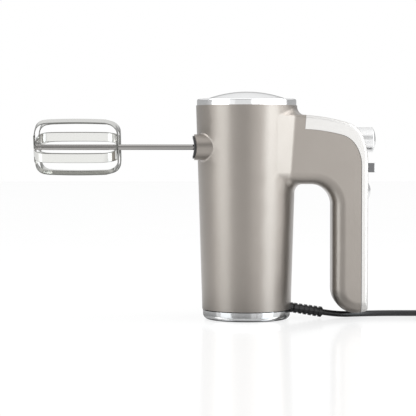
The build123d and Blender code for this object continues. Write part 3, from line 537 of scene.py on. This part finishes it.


# ======================================================================================
# Return springs of the two buttons
# ======================================================================================

def return_spring(node, start, length, radius, wire, turns):
    """Coil spring along X from its fixed end, in place of a CAD node."""
    per_turn, steps = 32, 32 * turns
    rise = (length - 2 * wire) / steps
    tangent_x = rise * per_turn / (2 * math.pi)
    rings = []
    for step in range(steps + 1):
        turn = 2 * math.pi * step / per_turn
        out = Vector((0, math.cos(turn), math.sin(turn)))
        along = Vector((tangent_x, -radius * math.sin(turn), radius * math.cos(turn))).normalized()
        side = along.cross(out)
        centre = Vector(start) + Vector((wire + rise * step, 0, 0)) + out * radius
        rings.append([(centre + (out * math.cos(a) + side * math.sin(a)) * wire) * MM
                      for a in [math.radians(36 * k) for k in range(10)]])
    points, faces = loft(rings)
    piece = mesh_object(f"{node}_coil", points, faces, "housing", replaces=(node,))
    piece.data.materials.append(FINISH["spring"])
    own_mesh(piece)


return_spring("eject_spring", (63, 0, 156), 21, 6.6, 0.4, 6)
return_spring("turbo_spring", (96, 0, 115), 9.5, 3.2, 0.3, 5)


# ======================================================================================
# Floor, light and surroundings
# ======================================================================================

FLOOR_GLOW, FLOOR_BOUNCE, FLOOR_GLOSS = 1.34, 1.3, 0.45


def floor_finish():
    """White sweep lit from below, dimmer under the mixer except to the camera, and faintly glossy."""
    shade = Shade("white_sweep", (0.16, 0.16, 0.16), roughness=0.6, Specular_IOR_Level=0.0,
                  Emission_Color=(1, 1, 1, 1))
    shade.tint(shade.noise(6, 2), (0.18, 0.18, 0.18), 0.6)
    distance = shade.node("ShaderNodeVectorMath", operation="LENGTH")
    shade.links.new(shade.place, distance.inputs[0])
    bounce = shade.spread(distance.outputs["Value"], 0.0, FLOOR_BOUNCE, 0.05, 0.2)
    path = shade.node("ShaderNodeLightPath")
    glow = shade.node("ShaderNodeMix", data_type="FLOAT")
    glow.inputs["B"].default_value = FLOOR_GLOW
    shade.links.new(path.outputs["Is Camera Ray"], glow.inputs["Factor"])
    shade.links.new(bounce, glow.inputs["A"])
    shade.links.new(glow.outputs["Result"], shade.shader.inputs["Emission Strength"])
    gloss = shade.node("ShaderNodeBsdfGlossy")
    gloss.inputs["Roughness"].default_value = 0.12
    both = shade.node("ShaderNodeMixShader")
    both.inputs[0].default_value = FLOOR_GLOSS
    shade.links.new(shade.shader.outputs[0], both.inputs[1])
    shade.links.new(gloss.outputs[0], both.inputs[2])
    shade.links.new(both.outputs[0], shade.nodes["Material Output"].inputs["Surface"])
    return shade.material


FLOOR_HALF = 6.0
floor_mesh = bpy.data.meshes.new("floor")
floor_mesh.from_pydata([(-FLOOR_HALF, -FLOOR_HALF, 0), (FLOOR_HALF, -FLOOR_HALF, 0),
                        (FLOOR_HALF, FLOOR_HALF, 0), (-FLOOR_HALF, FLOOR_HALF, 0)], [], [(0, 1, 2, 3)])
floor_mesh.materials.append(floor_finish())
floor = bpy.data.objects.new("floor", floor_mesh)
scene.collection.objects.link(floor)


def softbox(name, place, aim, width, height, power, color=(1, 1, 1)):
    """Rectangular soft light at a place, facing a point."""
    lamp = bpy.data.lights.new(name, "AREA")
    lamp.shape = "RECTANGLE"
    lamp.size, lamp.size_y = width, height
    lamp.energy = power
    lamp.color = color
    light = bpy.data.objects.new(name, lamp)
    light.visible_camera = False
    light.location = place
    light.rotation_euler = (Vector(aim) - Vector(place)).to_track_quat("-Z", "Y").to_euler()
    scene.collection.objects.link(light)


def around(degrees, distance, height):
    """Place at an angle to the right of the camera's side of the mixer."""
    turn = math.radians(degrees)
    return (distance * math.sin(turn), -distance * math.cos(turn), height)


STRIP_ANGLE, BANK_DISTANCE, BANK_HEIGHT = 15, 1.6, 1.2


def bank(name, first, last, power, color=(1, 1, 1)):
    """Upright soft strips side by side from one angle to another, each of the same power."""
    for turn in range(first, last + 1, STRIP_ANGLE):
        place = around(turn, BANK_DISTANCE, BANK_HEIGHT / 2)
        width = 2 * BANK_DISTANCE * math.tan(math.radians(STRIP_ANGLE / 2))
        softbox(f"{name}_{turn}", place, (0, 0, BANK_HEIGHT / 2), width, BANK_HEIGHT, power,
                color)


bank("right_wing", 80, 95, 2.0)
bank("right_edge", 35, 35, 1.5)
bank("key", 50, 65, 6.0, (0.9, 0.96, 1.0))
bank("left_wing", -80, -80, 1.6)
bank("left", -65, -50, 3.6, (0.93, 0.98, 1.0))
bank("front", 18, 18, 1.2)
bank("left_edge", -35, -35, 0.3)
softbox("upper_left", (-1.2, 0, 1.1), (0, 0, 0.1), 0.6, 1.0, 6)
softbox("upper_right", (1.2, 0, 1.1), (0, 0, 0.1), 0.6, 1.0, 6)

FRONT_SKY = ((0.0, 0.85), (0.08, 0.78), (0.16, 0.38), (0.58, 0.38), (0.68, 1.25), (1.0, 1.3))
BACK_SKY = ((0.0, 0.48), (0.1, 0.4), (0.2, 0.42), (0.35, 0.85), (1.0, 1.1))
SKY_SEAM = 0.3


def studio_sky():
    """Grey surroundings, darker in front at eye level, and plain white to the camera."""
    world = bpy.data.worlds.new("studio")
    world.use_nodes = True
    nodes, links = world.node_tree.nodes, world.node_tree.links
    sky, seen = nodes["Background"], nodes.new("ShaderNodeBackground")
    where, apart = nodes.new("ShaderNodeTexCoord"), nodes.new("ShaderNodeSeparateXYZ")
    links.new(where.outputs["Generated"], apart.inputs[0])

    def ramp(stops):
        """Grey against the sine of the elevation."""
        made = nodes.new("ShaderNodeValToRGB")
        for index, (sine, glow) in enumerate(stops):
            elements = made.color_ramp.elements
            stop = elements[index] if index < 2 else elements.new(sine)
            stop.position = sine
            stop.color = (glow, glow, glow, 1)
        links.new(apart.outputs["Z"], made.inputs[0])
        return made.outputs[0]

    turn, blend = nodes.new("ShaderNodeMapRange"), nodes.new("ShaderNodeMix")
    turn.inputs["From Min"].default_value = -SKY_SEAM
    turn.inputs["From Max"].default_value = SKY_SEAM
    blend.data_type = "RGBA"
    links.new(apart.outputs["Y"], turn.inputs["Value"])
    links.new(turn.outputs[0], blend.inputs["Factor"])
    links.new(ramp(FRONT_SKY), blend.inputs["A"])
    links.new(ramp(BACK_SKY), blend.inputs["B"])
    links.new(blend.outputs["Result"], sky.inputs["Color"])
    sky.inputs["Strength"].default_value = 1.0
    seen.inputs["Color"].default_value = (1, 1, 1, 1)
    seen.inputs["Strength"].default_value = 1.0
    mix, path = nodes.new("ShaderNodeMixShader"), nodes.new("ShaderNodeLightPath")
    links.new(path.outputs["Is Camera Ray"], mix.inputs[0])
    links.new(sky.outputs[0], mix.inputs[1])
    links.new(seen.outputs[0], mix.inputs[2])
    links.new(mix.outputs[0], nodes["World Output"].inputs["Surface"])
    return world


scene.world = studio_sky()
scene.view_settings.view_transform = "Standard"
